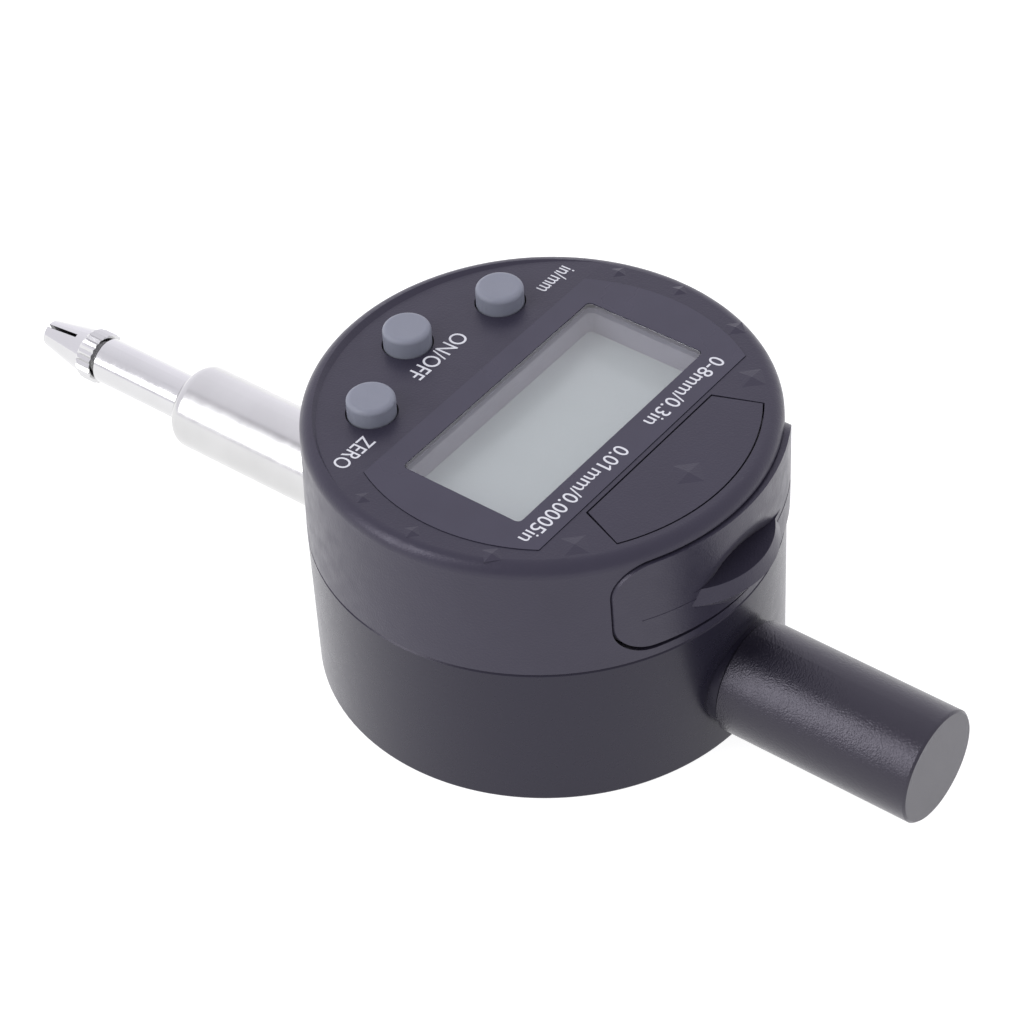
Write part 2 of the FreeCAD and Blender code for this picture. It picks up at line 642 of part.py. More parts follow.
# ---- battery bay and drawer ---------------------------------------------------------------
def battery_bay():
    """Plate between the mechanism and the battery, with the drawer's side rails."""
    plate = post(BAY_R, *BAY_Z)
    rail_x = TRAY_HALF_X + RAIL_GAP
    rails = [box(x, x + RAIL_T, *RAIL_Y, BAY_Z[1] - RAIL_ROOT, TRAY_TOP_Z)
             for x in (rail_x, -rail_x - RAIL_T)]
    foot_top = BAY_Z[0] + SENSOR_SCREW_GRIP
    feet = [post(SENSOR_FOOT_R, SENSOR_Z[1], foot_top, side * SENSOR_SCREW_X, SENSOR_SCREW_Y)
            for side in (1, -1)]
    bay = fuse_all([plate] + rails + feet)
    cutters = [post(CASE_BOSS_R + BOSS_GAP, *BAY_Z, x, y) for x, y in CASE_SCREW_PLACES]
    cutters += [post(SENSOR_SCREW_R, SENSOR_Z[1], BAY_Z[1], side * SENSOR_SCREW_X, SENSOR_SCREW_Y)
                for side in (1, -1)]
    flex_half = FLEX_HALF_X + FLEX_SLOT_GAP
    cutters.append(box(-flex_half, flex_half, FLEX_RISER_Y - FLEX_SLOT_GAP,
                       FLEX_RISER_Y + FLEX_T + FLEX_SLOT_GAP, *BAY_Z))
    return cut_all(bay, cutters)


def door_blank():
    """Curved door plate, before the finger lip and the scoop."""
    plate = rounded_box_y(DOOR_HALF_X, *DOOR_Z, DOOR_BLANK_Y, BODY_R + OVER, DOOR_CORNER_R)
    skin = post(BODY_R, 0, BODY_H)
    skin.translate(DOOR_SHIFT)
    return plate.common(skin).cut(post(DOOR_INSIDE_R, 0, BODY_H))


def finger_lip():
    """Leaf-shaped shelf: three crescents, widest at the lower edge of its front band."""
    sections = []
    for z, half_x, peak_y in LIP_SECTIONS:
        end_y = wall_y(half_x)
        back_y = end_y - LIP_ROOT_DEPTH
        crescent = Part.Wire([
            arc((-half_x, end_y), (0, peak_y), (half_x, end_y)),
            line((half_x, end_y), (half_x, back_y)),
            line((half_x, back_y), (-half_x, back_y)),
            line((-half_x, back_y), (-half_x, end_y)),
        ])
        crescent.translate(Vector(0, 0, z))
        sections.append(crescent)
    return Part.makeLoft(sections, True, True)


def door_crease():
    """Fine raised line that runs on from each end of the lip."""
    line_ring = ring(BODY_R + CREASE_PROUD, BODY_R - OVER, *CREASE_Z)
    line_ring.translate(DOOR_SHIFT)
    x0, x1 = CREASE_X
    sides = [box(x0, x1, 0, BODY_R, *CREASE_Z), box(-x1, -x0, 0, BODY_R, *CREASE_Z)]
    return [line_ring.common(side) for side in sides]


def battery_drawer():
    """Door with its finger lip, and the tray that carries the coin cell."""
    floor_z = DOOR_Z[0] + TRAY_FLOOR_T
    lip_top = LIP_SECTIONS[-1][0]
    backing = box(-BACKING_HALF_X, BACKING_HALF_X, BACKING_Y, BACKING_R, TRAY_TOP_Z, BACKING_TOP_Z)
    door = fuse_all([door_blank(), backing.common(post(BACKING_R, 0, BODY_H))])
    above_lip = box(-SCOOP_HALF_X, SCOOP_HALF_X, DOOR_BLANK_Y, SCOOP_CENTRE.y, lip_top, BODY_H)
    scoop = Part.makeSphere(SCOOP_R, SCOOP_CENTRE).common(above_lip)
    door = door.cut(scoop)
    scoop_edge = [
        e for e in door.Edges
        if e.BoundBox.ZMin > lip_top - 1e-4 and e.BoundBox.ZLength > 1
        and e.BoundBox.YMin > DOOR_INSIDE_R and e.BoundBox.ZMax < DOOR_Z[1] - 1
    ]
    door = door.makeFillet(SCOOP_EDGE_R, scoop_edge)
    door = fuse_all([door, finger_lip()] + door_crease())
    tray = fuse_all([
        post(TRAY_HALF_X, DOOR_Z[0], TRAY_TOP_Z, 0, CELL_Y),
        box(-TRAY_HALF_X, TRAY_HALF_X, CELL_Y, BODY_R, DOOR_Z[0], TRAY_TOP_Z),
    ]).common(post(TRAY_END_R, 0, BODY_H))
    return cut_all(fuse_all([door, tray]), [
        post(CELL_R + CELL_GAP, floor_z, floor_z + CELL_T + LOOSE_GAP, 0, CELL_Y),
        box(-TRAY_NOTCH_HALF, TRAY_NOTCH_HALF, CELL_Y - TRAY_HALF_X - OVER, CELL_Y, floor_z, BODY_H),
    ])


def coin_cell():
    """Lithium coin cell: a wide can with the smaller pole face on top."""
    z0 = DOOR_Z[0] + TRAY_FLOOR_T
    step_r, step_h = CELL_STEP
    can = post(CELL_R, z0, z0 + CELL_T - step_h, 0, CELL_Y)
    can = can.makeFillet(CELL_EDGE_R, rim_edges(can, CELL_R, z0))
    return fuse_all([can, post(CELL_R - step_r, z0, z0 + CELL_T, 0, CELL_Y)])


def battery_contact_top():
    """Leaf under the main board that meets the cell's upper pole."""
    half = LEAF_HALF_X
    leaf_z = BOARD_Z[0] - LEAF_T
    leaf = box(-half, half, *LEAF_Y, leaf_z - LEAF_T, leaf_z)
    pad = box(-half, half, LEAF_Y[0], LEAF_PAD_Y, leaf_z, BOARD_Z[0])
    return fuse_all([leaf, pad])


def battery_contact_rear():
    """Upright blade behind the cell that meets the edge of its can."""
    y1 = CELL_Y - CELL_R - BLADE_GAP
    return box(-BLADE_HALF_X, BLADE_HALF_X, y1 - BLADE_T, y1, DOOR_Z[0] + BLADE_LIFT, BOARD_Z[0])


# ---- stem, bushes and rear tube -----------------------------------------------------------
def stem():
    """Plain clamping stem, with a shank and a flange that hold it in the housing's wall."""
    tube = rod(STEM_R, STEM_END_Y, STEM_SHOULDER_Y)
    nose = [e for e in tube.Edges if e.BoundBox.YMax < STEM_END_Y + 1e-4]
    tube = tube.makeFillet(STEM_EDGE_R, nose)
    shank = rod(STEM_SHANK_R, STEM_SHOULDER_Y, STEM_REAR_Y)
    flange = rod(STEM_FLANGE_R, STEM_REAR_Y - STEM_FLANGE_T, STEM_REAR_Y)
    flange = flange.cut(box(-BODY_R, BODY_R, -BODY_R, 0, 0, LEDGE_TOP_Z + FIT_GAP))
    tube = fuse_all([tube, shank, flange])
    return cut_all(tube, [
        rod(STEM_BORE_R, STEM_END_Y + STEM_MOUTH_L, STEM_REAR_Y + OVER),
        rod(STEM_MOUTH_R, STEM_END_Y - OVER, STEM_REAR_Y),
    ])


def front_bush():
    y0 = STEM_END_Y + STEM_MOUTH_L
    return sleeve(STEM_BORE_R, SPINDLE_R + RUNNING_GAP, y0, y0 + FRONT_BUSH_L)


def rear_bush():
    return sleeve(CAP_BORE_R, SPINDLE_R + RUNNING_GAP, ADAPTER_REAR_Y, REAR_BUSH_END_Y)


def cap_adapter():
    """Turned ring in the rear wall that the spindle's cap tube screws on."""
    thread_end = CAP_MOUTH_Y + ADAPTER_THREAD_L
    body = fuse_all([
        rod(ADAPTER_R, ADAPTER_REAR_Y, CAP_MOUTH_Y),
        rod(ADAPTER_THREAD_R, CAP_MOUTH_Y, thread_end),
    ])
    return body.cut(rod(CAP_BORE_R, ADAPTER_REAR_Y - OVER, thread_end + OVER))


def spindle_cap():
    tube = rod(CAP_R, CAP_MOUTH_Y, CAP_END_Y)
    ends = [e for e in tube.Edges if e.BoundBox.YLength < 1e-4]
    tube = tube.makeChamfer(CAP_EDGE, ends)
    return cut_all(tube, [
        rod(ADAPTER_THREAD_R + FIT_GAP, CAP_MOUTH_Y - OVER, CAP_MOUTH_Y + ADAPTER_THREAD_L + THREAD_SPARE),
        rod(CAP_BORE_R, CAP_MOUTH_Y, CAP_END_Y - CAP_END_T),
    ])


def end_buffer():
    """Soft disc in the closed end of the cap."""
    y1 = CAP_END_Y - CAP_END_T
    return rod(CAP_BORE_R - FIT_GAP, y1 - BUFFER_T, y1)


# ---- spindle and what rides on it ---------------------------------------------------------
def spindle():
    shaft = rod(SPINDLE_R, SPINDLE_FRONT_Y, SPINDLE_REAR_Y)
    ends = [e for e in shaft.Edges if e.BoundBox.YLength < 1e-4]
    shaft = shaft.makeChamfer(SPINDLE_EDGE, ends)
    y0, y1 = (STEM_REAR_Y + offset for offset in RING_GROOVE_Y)
    groove = sleeve(SPINDLE_R + OVER, SPINDLE_R - RING_GROOVE_DEPTH, y0, y1)
    return cut_all(shaft, [rod(STUD_HOLE_R, SPINDLE_FRONT_Y - OVER, SPINDLE_FRONT_Y + STUD_HOLE_L), groove])


def retaining_ring():
    """Snap ring that stops the spindle against the stem's inner end."""
    y0, y1 = (STEM_REAR_Y + offset for offset in RING_GROOVE_Y)
    body = sleeve(RING_R, SPINDLE_R - RING_GROOVE_DEPTH, y0, y1)
    half = RING_MOUTH_HALF
    return body.cut(box(-half, half, y0, y1, AXIS_Z - RING_R - OVER, AXIS_Z - half))


def contact_point():
    """Screwed-in contact: threaded stud, neck, knurled collar, cone and cross slot."""
    teeth = []
    for i in range(2 * KNURL_TEETH + 1):
        r = KNURL_R if i % 2 else KNURL_ROOT_R
        turn = math.pi * i / KNURL_TEETH
        teeth.append(Vector(r * math.sin(turn), KNURL_Y[1], AXIS_Z + r * math.cos(turn)))
    knurl = Part.Face(Part.makePolygon(teeth)).extrude(Vector(0, KNURL_Y[0] - KNURL_Y[1], 0))
    cone = cone_y(TIP_R, CONE_REAR_R, TIP_Y, KNURL_Y[1])
    shoulder_y = KNURL_Y[1] + KNURL_SHOULDER
    blank_r = KNURL_R + KNURL_SPARE
    shoulder = cone_y(KNURL_ROOT_R + KNURL_SPARE, blank_r, KNURL_Y[1], shoulder_y)
    knurl = knurl.common(fuse_all([shoulder, rod(blank_r, shoulder_y, SPINDLE_FRONT_Y)]))
    neck = rod(CONTACT_NECK_R, KNURL_Y[0], SPINDLE_FRONT_Y)
    stud = rod(STUD_R, SPINDLE_FRONT_Y, SPINDLE_FRONT_Y + STUD_L)
    point = fuse_all([cone, knurl, neck, stud])
    reach = KNURL_R * 2
    slot = box(-SLOT_W / 2, SLOT_W / 2, TIP_Y - OVER, TIP_Y + SLOT_DEPTH, AXIS_Z - reach, AXIS_Z + reach)
    slot.rotate(Vector(0, 0, AXIS_Z), ALONG_Y, SLOT_TURN)
    return point.cut(slot)


def scale_carrier():
    """Block clamped on the spindle; its two wings reach the guide rail and the spring."""
    block = box(-CARRIER_X, CARRIER_X, *CARRIER_Y, *CARRIER_Z)
    wings = box(-WING_X, WING_X, *WING_Y, *WING_Z)
    carrier = fuse_all([block, wings])
    cutters = [rod(SPINDLE_R, CARRIER_Y[0] - OVER, CARRIER_Y[1] + OVER)]
    cutters += [post(r, *CARRIER_Z, x, PIN_Y) for x, r in ((GUIDE_X, GUIDE_PIN_R), (SPRING_X, SPRING_PIN_R))]
    cutters += [post(SET_SCREW_R, 0, AXIS_Z, 0, y) for y in SET_SCREW_Y]
    return cut_all(carrier, cutters)


def carrier_set_screws():
    low = CARRIER_Z[0]
    slot_half, slot_depth = SET_SCREW_SLOT
    screws = []
    for y in SET_SCREW_Y:
        screw = post(SET_SCREW_R, low, AXIS_Z - SPINDLE_R - SET_SCREW_GAP, 0, y)
        slot = box(-OVER, OVER, y - slot_half, y + slot_half, 0, low + slot_depth)
        screws.append(screw.cut(slot))
    return Part.makeCompound(screws)


def guide_pin():
    return post(GUIDE_PIN_R, COVER_T + GUIDE_PIN_LIFT, WING_Z[1], GUIDE_X, PIN_Y)


def spring_pin():
    return post(SPRING_PIN_R, AXIS_Z - SPRING_PIN_REACH, WING_Z[1], SPRING_X, PIN_Y)


def spring_anchor():
    low = COVER_T - SPRING_ANCHOR_ROOT
    return post(SPRING_PIN_R, low, AXIS_Z + SPRING_PIN_REACH, SPRING_X, SPRING_ANCHOR_Y)


def return_spring():
    """Extension spring from the anchor post to the carrier's pin."""
    clear = SPRING_PIN_R + SPRING_WIRE_R + SPRING_HOOK_GAP
    y0 = SPRING_ANCHOR_Y + clear
    length = PIN_Y - clear - y0
    helix = Part.makeHelix(length / SPRING_TURNS, length, SPRING_COIL_R)
    section = Part.Wire(Part.makeCircle(SPRING_WIRE_R, Vector(SPRING_COIL_R, 0, 0), Vector(0, 1, 0)))
    wire = Part.Wire(helix).makePipeShell([section], True, True)
    wire.rotate(Vector(0, 0, 0), Vector(1, 0, 0), -90)
    wire.translate(Vector(SPRING_X, y0, AXIS_Z))
    return wire


def encoder_scale():
    return box(-SCALE_HALF_X, SCALE_HALF_X, *SCALE_Y, *SCALE_Z)


def sensor_board():
    board = box(-SENSOR_HALF_X, SENSOR_HALF_X, *SENSOR_Y, *SENSOR_Z)
    hole_r = SENSOR_SCREW_R + SENSOR_SCREW_PLAY
    return cut_all(board, [post(hole_r, *SENSOR_Z, side * SENSOR_SCREW_X, SENSOR_SCREW_Y)
                           for side in (1, -1)])


def sensor_screws():
    screws = []
    low = SENSOR_Z[0] - SENSOR_SCREW_HEAD_H
    for side in (1, -1):
        x = side * SENSOR_SCREW_X
        head = post(SENSOR_SCREW_HEAD_R, low, SENSOR_Z[0], x, SENSOR_SCREW_Y)
        shank = post(SENSOR_SCREW_R, low, BAY_Z[0] + SENSOR_SCREW_GRIP, x, SENSOR_SCREW_Y)
        screws.append(fuse_all([head, shank]))
    return Part.makeCompound(screws)


def build():
    parts = {
        "front_housing": front_housing(),
        "back_housing": back_housing(),
        "back_cover": back_cover(),
        "case_screws": case_screws(),
        "face_label": face_label(),
        "window_lens": window_lens(),
        "lcd_frame": lcd_frame(),
        "lcd_panel": lcd_panel(),
        "lcd_contact_strip": lcd_contact_strip(),
        "lcd_backing_pad": lcd_backing_pad(),
        "name_plate": name_plate(),
        "switch_bodies": switch_bodies(),
        "main_board": main_board(),
        "board_screws": board_screws(),
        "controller_chip": controller_chip(),
        "flex_cable": flex_cable(),
        "battery_bay": battery_bay(),
        "battery_drawer": battery_drawer(),
        "coin_cell": coin_cell(),
        "battery_contact_top": battery_contact_top(),
        "battery_contact_rear": battery_contact_rear(),
        "stem": stem(),
        "front_bush": front_bush(),
        "rear_bush": rear_bush(),
        "cap_adapter": cap_adapter(),
        "spindle_cap": spindle_cap(),
        "end_buffer": end_buffer(),
        "spindle": spindle(),
        "retaining_ring": retaining_ring(),
        "contact_point": contact_point(),
        "scale_carrier": scale_carrier(),
        "carrier_set_screws": carrier_set_screws(),
        "guide_pin": guide_pin(),
        "spring_pin": spring_pin(),
        "spring_anchor": spring_anchor(),
        "return_spring": return_spring(),
        "encoder_scale": encoder_scale(),
        "sensor_board": sensor_board(),
        "sensor_screws": sensor_screws(),
    }
    for name, (x, y) in BUTTONS.items():
        parts["button_" + name] = button(x, y)
        parts["switch_plunger_" + name] = switch_plunger(x, y)
    return parts


os.makedirs("parts", exist_ok=True)
for name, shape in build().items():
    shape.exportStep("parts/" + name + ".step")
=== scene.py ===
import math

import bmesh
import bpy
from mathutils import Matrix, Vector


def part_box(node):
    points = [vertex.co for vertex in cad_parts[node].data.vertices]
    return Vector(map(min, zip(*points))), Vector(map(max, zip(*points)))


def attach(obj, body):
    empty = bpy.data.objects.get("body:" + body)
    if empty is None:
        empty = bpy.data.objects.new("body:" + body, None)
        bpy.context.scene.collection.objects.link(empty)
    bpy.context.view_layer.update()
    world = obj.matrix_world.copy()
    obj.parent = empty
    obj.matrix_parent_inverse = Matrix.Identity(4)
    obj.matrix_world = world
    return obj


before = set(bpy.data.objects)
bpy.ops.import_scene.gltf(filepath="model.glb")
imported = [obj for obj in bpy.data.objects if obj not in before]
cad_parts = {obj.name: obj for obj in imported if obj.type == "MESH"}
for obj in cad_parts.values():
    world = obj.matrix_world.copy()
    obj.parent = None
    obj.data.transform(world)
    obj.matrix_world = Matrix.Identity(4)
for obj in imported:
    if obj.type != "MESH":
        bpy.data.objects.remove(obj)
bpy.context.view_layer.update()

MM = 0.001

# ---- camera -------------------------------------------------------------------------------
CAMERA_PLACE = Vector((167.763, 134.934, 211.621)) * MM
CAMERA_TARGET = Vector((-3.274, -6.532, 8.0)) * MM
CAMERA_ROLL = 0.060                    # radians
CAMERA_LENS = 120.07                   # millimetres, on a sensor this wide:
SENSOR = 36.0


def make_camera():
    forward = (CAMERA_TARGET - CAMERA_PLACE).normalized()
    level = forward.cross(Vector((0, 0, 1))).normalized()
    down = forward.cross(level)
    turn, rise = math.cos(CAMERA_ROLL), math.sin(CAMERA_ROLL)
    right = turn * level + rise * down
    up = rise * level - turn * down
    data = bpy.data.cameras.new("camera")
    data.lens = CAMERA_LENS
    data.sensor_width = SENSOR
    data.clip_start = 0.01
    data.clip_end = 20.0
    camera = bpy.data.objects.new("camera", data)
    rotation = Matrix((right, up, -forward)).transposed()
    camera.matrix_world = Matrix.Translation(CAMERA_PLACE) @ rotation.to_4x4()
    bpy.context.scene.collection.objects.link(camera)
    bpy.context.scene.camera = camera


# ---- node helpers -------------------------------------------------------------------------
NOISE_RANGE = (0.3, 0.7)       # where most of a noise's values lie


class Tree:
    """Adds and links the nodes of one material or world."""

    def __init__(self, owner):
        owner.use_nodes = True
        self.tree = owner.node_tree
        self.tree.nodes.clear()

    def add(self, kind, inputs=None, **settings):
        node = self.tree.nodes.new("ShaderNode" + kind)
        for key, value in settings.items():
            setattr(node, key, value)
        for key, value in (inputs or {}).items():
            self.put(node.inputs[key], value)
        return node

    def put(self, socket, value):
        if isinstance(value, bpy.types.NodeSocket):
            self.tree.links.new(value, socket)
        else:
            socket.default_value = value

    def noise(self, where, scale, detail=2.0):
        inputs = {"Vector": where, "Scale": scale, "Detail": detail}
        return self.add("TexNoise", inputs).outputs["Fac"]

    def spread(self, value, low, high):
        """Stretches a noise's usual range to low..high."""
        return self.map(value, *NOISE_RANGE, low, high)

    def map(self, value, from_low, from_high, to_low, to_high):
        inputs = {0: value, 1: from_low, 2: from_high, 3: to_low, 4: to_high}
        return self.add("MapRange", inputs).outputs[0]

    def maths(self, operation, *values):
        return self.add("Math", dict(enumerate(values)), operation=operation).outputs[0]

    def dot(self, a, b):
        return self.add("VectorMath", {0: a, 1: b}, operation="DOT_PRODUCT").outputs["Value"]

    def mix(self, factor, a, b):
        node = self.add("Mix", data_type="RGBA")
        self.put(node.inputs[0], factor)
        self.put(node.inputs[6], a)
        self.put(node.inputs[7], b)
        return node.outputs[2]


def shade(colour, k):
    """A colour made k times as bright, with full alpha."""
    return tuple(min(1.0, c * k) for c in colour) + (1.0,)


# ---- one finish ---------------------------------------------------------------------------
DUST_CELLS = 520.0             # specks per metre, before most of them are dropped
DUST_SIZE = 0.035              # radius as a share of a cell
DUST_COLOUR = (0.55, 0.55, 0.58, 1.0)
# painted shade: near-black colour mixed into the slot across the contact point's tip
SLOT_SHADE_COLOUR = (0.02, 0.02, 0.025, 1.0)
WEAR_SCALE = 0.13              # scale of the uneven roughness, as a share of the grain's


def dust_specks(t, where, share):
    """1 on small specks in the given share of the cells, and 0 elsewhere."""
    cells = t.add("TexVoronoi", {"Vector": where, "Scale": DUST_CELLS})
    near = t.maths("LESS_THAN", cells.outputs["Distance"], DUST_SIZE)
    pick = t.add("SeparateColor", {0: cells.outputs["Color"]}).outputs[0]
    few = t.maths("GREATER_THAN", pick, 1.0 - share)
    return t.maths("MULTIPLY", near, few)


def finish(name, colour, rough, tint=0.08, tint_scale=220.0, rough_spread=0.05, grain=6000.0,
           depth=0.004, stretch=None, dust=0.0, colours=None, dark=None, **constants):
    """A procedural finish: mottled colour, uneven roughness, fine grain, and a few dust specks.

    colours gives the two ends of the mottling, in place of a colour and its tint. grain and
    tint_scale are noise scales per metre, and depth is in millimetres. stretch scales the
    grain's pattern along each axis, as on turned or brushed metal. dark gives the mask of a
    recess, which gets painted shade: a near-black colour mixed in where shade falls.
    """
    material = bpy.data.materials.get(name) or bpy.data.materials.new(name)
    t = Tree(material)
    where = t.add("TexCoord").outputs["Object"]
    mottle = t.noise(where, tint_scale, 4.0)
    low, high = colours or (shade(colour, 1 - tint), shade(colour, 1 + tint))
    shown = t.mix(t.spread(mottle, 0.0, 1.0), low, high)
    if dust:
        shown = t.mix(dust_specks(t, where, dust), shown, DUST_COLOUR)
    # painted shade: the recess mask that dark gives is mixed towards near-black
    if dark:
        shown = t.mix(dark(t, where), shown, SLOT_SHADE_COLOUR)
    along = where
    if stretch:
        along = t.add("Mapping", {"Vector": where, "Scale": stretch}).outputs[0]
    fine = t.noise(along, grain)
    bump = t.add("Bump", {"Height": fine, "Strength": 1.0, "Distance": depth * MM}).outputs[0]
    uneven = t.noise(along, grain * WEAR_SCALE, 3.0)
    worn = t.spread(uneven, rough - rough_spread, rough + rough_spread)
    inputs = {"Base Color": shown, "Roughness": worn, "Normal": bump}
    inputs.update(constants)
    body = t.add("BsdfPrincipled", inputs).outputs[0]
    t.add("OutputMaterial", {"Surface": body})


# ---- finishes, by the record's material slots ---------------------------------------------
METAL = {"Metallic": 1.0}
TURNED = (0.04, 1.0, 0.04)             # rings round the Y axis
BRUSHED_X = (0.1, 1.0, 1.0)            # short lines along X
BRUSHED_Y = (1.0, 0.1, 1.0)            # short lines along Y
SOFT_GREY = {"Subsurface Weight": 0.25, "Subsurface Radius": (0.0006, 0.0006, 0.0007),
             "Subsurface Scale": 1.0, "Specular IOR Level": 0.4}

SPINDLE_Z = 6.2 * MM
SLOT_TURN = math.radians(18.0)         # the slot in the contact point leans by this much
SLOT_WAY = (math.cos(SLOT_TURN), 0.0, -math.sin(SLOT_TURN))
SLOT_SHIFT = -SPINDLE_Z * math.sin(SLOT_TURN)
SLOT_HALF = 0.17 * MM
SLOT_END_Y = -55.15 * MM


def glossy(level):
    """Strength of the gloss, with the slight violet cast that these black plastics have."""
    return {"Specular IOR Level": level, "Specular Tint": (0.90, 0.86, 1.0, 1.0)}


def bloom(weight):
    """Thin film of dust, which lightens a dark surface where it is seen at a slant."""
    return {"Sheen Weight": weight, "Sheen Roughness": 0.35}


def make_plastics():
    finish("front_plastic", (0.0235, 0.0215, 0.0355), 0.34, tint=0.05, grain=5500.0, depth=0.020,
           dust=0.02, **glossy(0.44), **bloom(0.06))
    finish("body_black", (0.0105, 0.0095, 0.019), 0.28, tint=0.03, rough_spread=0.02, grain=7000.0,
           depth=0.002, dust=0.03, **glossy(0.36), **bloom(0.10))
    finish("tube_black", (0.010, 0.009, 0.015), 0.25, tint=0.04, rough_spread=0.02, grain=6600.0,
           depth=0.036, dust=0.02, **glossy(0.62), **bloom(0.02))
    finish("label_black", (0.034, 0.032, 0.050), 0.30, grain=1500.0, depth=0.001, dust=0.015,
           **glossy(0.46))
    finish("button_grey", (0.203, 0.216, 0.258), 0.46, tint=0.04, grain=7000.0, depth=0.003,
           **SOFT_GREY)
    finish("frame_grey", (0.225, 0.222, 0.262), 0.50, grain=6000.0, depth=0.003)
    finish("plunger_white", (0.72, 0.71, 0.68), 0.42, tint=0.03, grain=6000.0, depth=0.002)
    finish("rubber_black", (0.018, 0.018, 0.019), 0.70, grain=5000.0, depth=0.005)
    finish("bay_black", (0.025, 0.025, 0.027), 0.52, grain=5000.0, depth=0.006)


def tip_slot(t, where):
    """1 inside the slot across the contact point's tip, which gets painted shade, and 0 elsewhere.
    """
    centred = t.maths("SUBTRACT", t.dot(where, SLOT_WAY), SLOT_SHIFT)
    inside = t.maths("COMPARE", centred, 0.0, SLOT_HALF)
    along = t.add("SeparateXYZ", {0: where}).outputs[1]
    front = t.maths("LESS_THAN", along, SLOT_END_Y)
    return t.maths("MULTIPLY", inside, front)


def make_metals():
    finish("stem_steel", (0.59, 0.59, 0.585), 0.19, tint=0.03, rough_spread=0.04, grain=9000.0,
           depth=0.0006, stretch=TURNED, **METAL)
    # the slot across the tip gets painted shade
    finish("spindle_steel", (0.62, 0.62, 0.62), 0.11, tint=0.02, rough_spread=0.03, grain=9000.0,
           depth=0.0003, stretch=TURNED, dark=tip_slot, **METAL)
    finish("screw_steel", (0.42, 0.42, 0.44), 0.32, grain=8000.0, depth=0.002, **METAL)
    finish("contact_steel", (0.70, 0.69, 0.66), 0.25, grain=6000.0, depth=0.001, **METAL)
    finish("cell_steel", (0.72, 0.71, 0.70), 0.24, grain=5000.0, depth=0.001,
           stretch=BRUSHED_X, **METAL)
    finish("spring_steel", (0.55, 0.55, 0.57), 0.25, grain=9000.0, depth=0.001, **METAL)
    finish("bush_brass", (0.72, 0.50, 0.22), 0.28, grain=9000.0, depth=0.001, stretch=TURNED,
           **METAL)
    finish("carrier_alloy", (0.62, 0.62, 0.64), 0.35, grain=4000.0, depth=0.002,
           stretch=BRUSHED_Y, **METAL)


def make_electronics():
    finish("lcd_glass", None, 0.22, tint_scale=60.0, grain=900.0, depth=0.0005,
           colours=((0.392, 0.447, 0.414, 1.0), (0.415, 0.464, 0.436, 1.0)))
    finish("board_green", (0.020, 0.110, 0.050), 0.38, tint=0.15, grain=3000.0, depth=0.002)
    finish("chip_black", (0.022, 0.022, 0.024), 0.50, grain=9000.0, depth=0.003)
    finish("scale_laminate", (0.060, 0.130, 0.080), 0.34, tint=0.10, grain=2500.0, depth=0.001)
    finish("flex_amber", (0.480, 0.180, 0.035), 0.30, tint=0.06, grain=2500.0, depth=0.001)
    finish("ink_white", (0.62, 0.63, 0.66), 0.45, tint=0.03, grain=8000.0, depth=0.002)


WINDOW_CLEAR = (0.97, 0.97, 0.98, 1.0)
WINDOW_MIRROR = (0.045, 0.85)  # share mirrored when seen square on and edge on
WINDOW_POWER = 3.0             # how late the mirroring sets in as the view slants


def make_window():
    """Clear window: what is behind shows through, and its two faces mirror more at a slant."""
    t = Tree(bpy.data.materials["window_clear"])
    where = t.add("TexCoord").outputs["Object"]
    slant = t.add("LayerWeight", {"Blend": 0.5}).outputs["Facing"]
    steep = t.maths("POWER", slant, WINDOW_POWER)
    share = t.map(steep, 0.0, 1.0, *WINDOW_MIRROR)
    haze = t.spread(t.noise(where, 130.0, 3.0), 0.03, 0.06)
    clear = t.add("BsdfTransparent", {"Color": WINDOW_CLEAR}).outputs[0]
    gloss = t.add("BsdfGlossy", {"Color": (1.0, 1.0, 1.0, 1.0), "Roughness": haze}).outputs[0]
    both = t.add("MixShader", {0: share, 1: clear, 2: gloss}).outputs[0]
    t.add("OutputMaterial", {"Surface": both})


# ---- printed lettering --------------------------------------------------------------------
INK_T = 0.02 * MM              # the ink stands this much above the printed surface, and below it
FACE_Z = 26.3 * MM
LABEL_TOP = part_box("face_label")[1].z
ZONE_START_Y = -6.7 * MM       # the floor round the buttons falls away from here
ZONE_FALL = 0.032
FONT_DEPTH = 0.02              # tells the letters' upper side from their lower side

# The font's figure 1 is a bare bar. This outlines the short stroke at its top, in the font's units.
ONE_STROKE = ((1.421, 0.682), (1.255, 0.560), (1.255, 0.470), (1.421, 0.575))

# name, words, x and y limits in millimetres, and any added stroke
LINES = (
    ("ink_range", "0-8mm/0.3in", (-12.9, -2.8), (8.4, 9.8)),
    ("ink_resolution", "0.01mm/0.0005in", (0.8, 14.3), (8.4, 9.8), ONE_STROKE),
    ("ink_units", "in/mm", (-15.7, -11.9), (-9.5, -8.0)),
    ("ink_power", "ON/OFF", (-3.4, 3.4), (-11.7, -10.1)),
    ("ink_zero", "ZERO", (11.6, 15.8), (-9.7, -8.2)),
)


def printed_height(y):
    """Height of the printed surface: the label, or the floor that falls away round the buttons."""
    if y > ZONE_START_Y:
        return LABEL_TOP
    return FACE_Z + (y - ZONE_START_Y) * ZONE_FALL


def add_stroke(mesh, outline, depth):
    """Adds a prism to a mesh, from -depth to depth in z; its outline runs anticlockwise."""
    shape = bmesh.new()
    shape.from_mesh(mesh)
    low = [shape.verts.new((x, y, -depth)) for x, y in outline]
    high = [shape.verts.new((x, y, depth)) for x, y in outline]
    shape.faces.new(high)
    shape.faces.new(low[::-1])
    for i in range(len(outline)):
        shape.faces.new((low[i - 1], low[i], high[i], high[i - 1]))
    shape.to_mesh(mesh)
    shape.free()


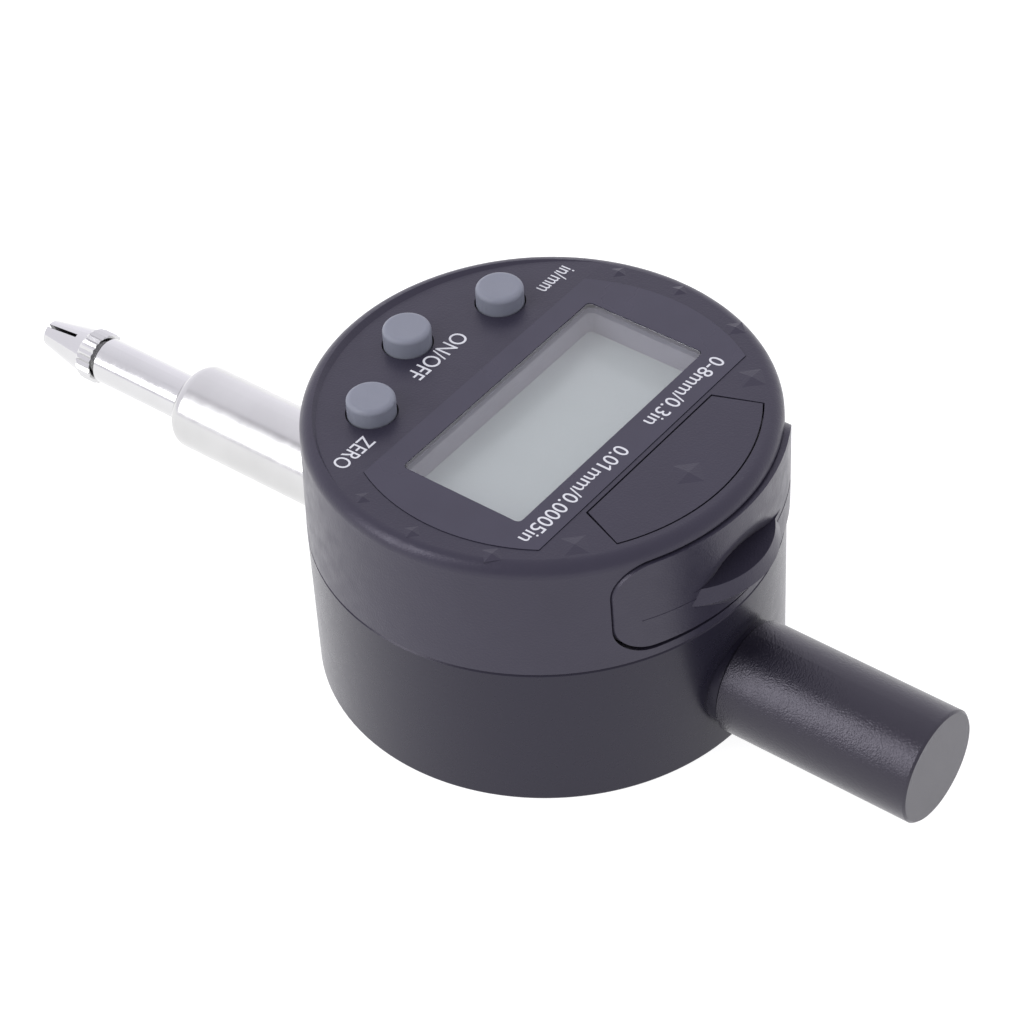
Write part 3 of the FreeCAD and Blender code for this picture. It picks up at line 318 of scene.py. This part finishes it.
def letter(name, words, x_span, y_span, stroke=None):
    """White printed words, fitted to a box on the display face and laid on its surface."""
    curve = bpy.data.curves.new(name, "FONT")
    curve.body = words
    curve.extrude = FONT_DEPTH
    curve.resolution_u = 5
    outline = bpy.data.objects.new(name + "_outline", curve)
    bpy.context.scene.collection.objects.link(outline)
    bpy.context.view_layer.update()
    mesh = bpy.data.meshes.new_from_object(outline)
    bpy.data.objects.remove(outline)
    mesh.name = name
    if stroke:
        add_stroke(mesh, stroke, FONT_DEPTH)
    xs = [v.co.x for v in mesh.vertices]
    ys = [v.co.y for v in mesh.vertices]
    wide = (x_span[1] - x_span[0]) * MM / (max(xs) - min(xs))
    tall = (y_span[1] - y_span[0]) * MM / (max(ys) - min(ys))
    for v in mesh.vertices:
        x = x_span[0] * MM + (v.co.x - min(xs)) * wide
        y = y_span[0] * MM + (v.co.y - min(ys)) * tall
        z = printed_height(y) + (INK_T if v.co.z > 0 else -INK_T)
        v.co = (x, y, z)
    mesh.materials.clear()
    mesh.materials.append(bpy.data.materials["ink_white"])
    piece = bpy.data.objects.new(name, mesh)
    bpy.context.scene.collection.objects.link(piece)
    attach(piece, "casing")


# ---- stage --------------------------------------------------------------------------------
ROOM_TINT = (0.975, 0.955, 1.035, 1.0)
HORIZON_LEVEL = 1.08
ZENITH_LEVEL = 0.95
FAR_WAY = (-0.78, -0.63, 0.0)         # the room is brighter on the side away from the camera
FAR_GAIN = 0.22
GAP_WAY = (0.30, -0.43, 0.85)         # dark gap between the key and the overhead light
GAP_EDGE = (0.990, 0.997)             # cosines of the angles at which the gap starts and is full
GAP_LEVEL = 0.30
KEY_WAY = Vector((0.70, -0.43, 0.535)).normalized()
KEY_DISTANCE = 0.9
KEY_SIZE = (0.30, 0.75)               # width and height
KEY_POWER = 3.3
FLOOR_HALF = 3.0
FLOOR_GREYS = ((0.34, 0.34, 0.34, 1.0), (0.36, 0.36, 0.36, 1.0))
FLOOR_GLOW = 0.90                     # the floor is a light table
FLOOR_DROP = 0.02 * MM                # keeps the floor clear of the back face


def make_world():
    """Soft white room: brightest at the horizon, with one dark gap that the metal mirrors."""
    world = bpy.data.worlds.new("studio")
    bpy.context.scene.world = world
    t = Tree(world)
    way = t.add("TexCoord").outputs["Generated"]
    height = t.add("SeparateXYZ", {0: way}).outputs[2]
    level = t.map(height, 0.0, 1.0, HORIZON_LEVEL, ZENITH_LEVEL)
    tilted = t.maths("MULTIPLY_ADD", t.dot(way, FAR_WAY), FAR_GAIN, level)
    near = t.dot(way, Vector(GAP_WAY).normalized())
    gap = t.map(near, *GAP_EDGE, 1.0, GAP_LEVEL)
    both = t.maths("MULTIPLY", tilted, gap)
    back = t.add("Background", {"Color": ROOM_TINT, "Strength": both}).outputs[0]
    t.add("OutputWorld", {"Surface": back})


def make_key():
    data = bpy.data.lights.new("key", "AREA")
    data.shape = "RECTANGLE"
    data.size, data.size_y = KEY_SIZE
    data.energy = KEY_POWER
    lamp = bpy.data.objects.new("key", data)
    lamp.location = KEY_WAY * KEY_DISTANCE
    lamp.rotation_mode = "QUATERNION"
    lamp.rotation_quaternion = (-KEY_WAY).to_track_quat("-Z", "Y")
    bpy.context.scene.collection.objects.link(lamp)


def make_floor():
    mesh = bpy.data.meshes.new("floor")
    ways = ((-1, -1), (1, -1), (1, 1), (-1, 1))
    corners = [(x * FLOOR_HALF, y * FLOOR_HALF, 0) for x, y in ways]
    mesh.from_pydata(corners, [], [(0, 1, 2, 3)])
    floor = bpy.data.objects.new("floor", mesh)
    floor.location.z = -FLOOR_DROP
    bpy.context.scene.collection.objects.link(floor)
    material = bpy.data.materials.new("floor_white")
    t = Tree(material)
    where = t.add("TexCoord").outputs["Object"]
    shown = t.mix(t.noise(where, 3.0), *FLOOR_GREYS)
    inputs = {"Base Color": shown, "Roughness": 0.9, "Specular IOR Level": 0.0,
              "Emission Color": (1.0, 1.0, 1.0, 1.0), "Emission Strength": FLOOR_GLOW}
    body = t.add("BsdfPrincipled", inputs).outputs[0]
    t.add("OutputMaterial", {"Surface": body})
    mesh.materials.append(material)


bpy.context.scene.view_settings.view_transform = "Standard"
make_camera()
make_world()
make_key()
make_floor()
make_plastics()
make_metals()
make_electronics()
make_window()
for line in LINES:
    letter(*line)
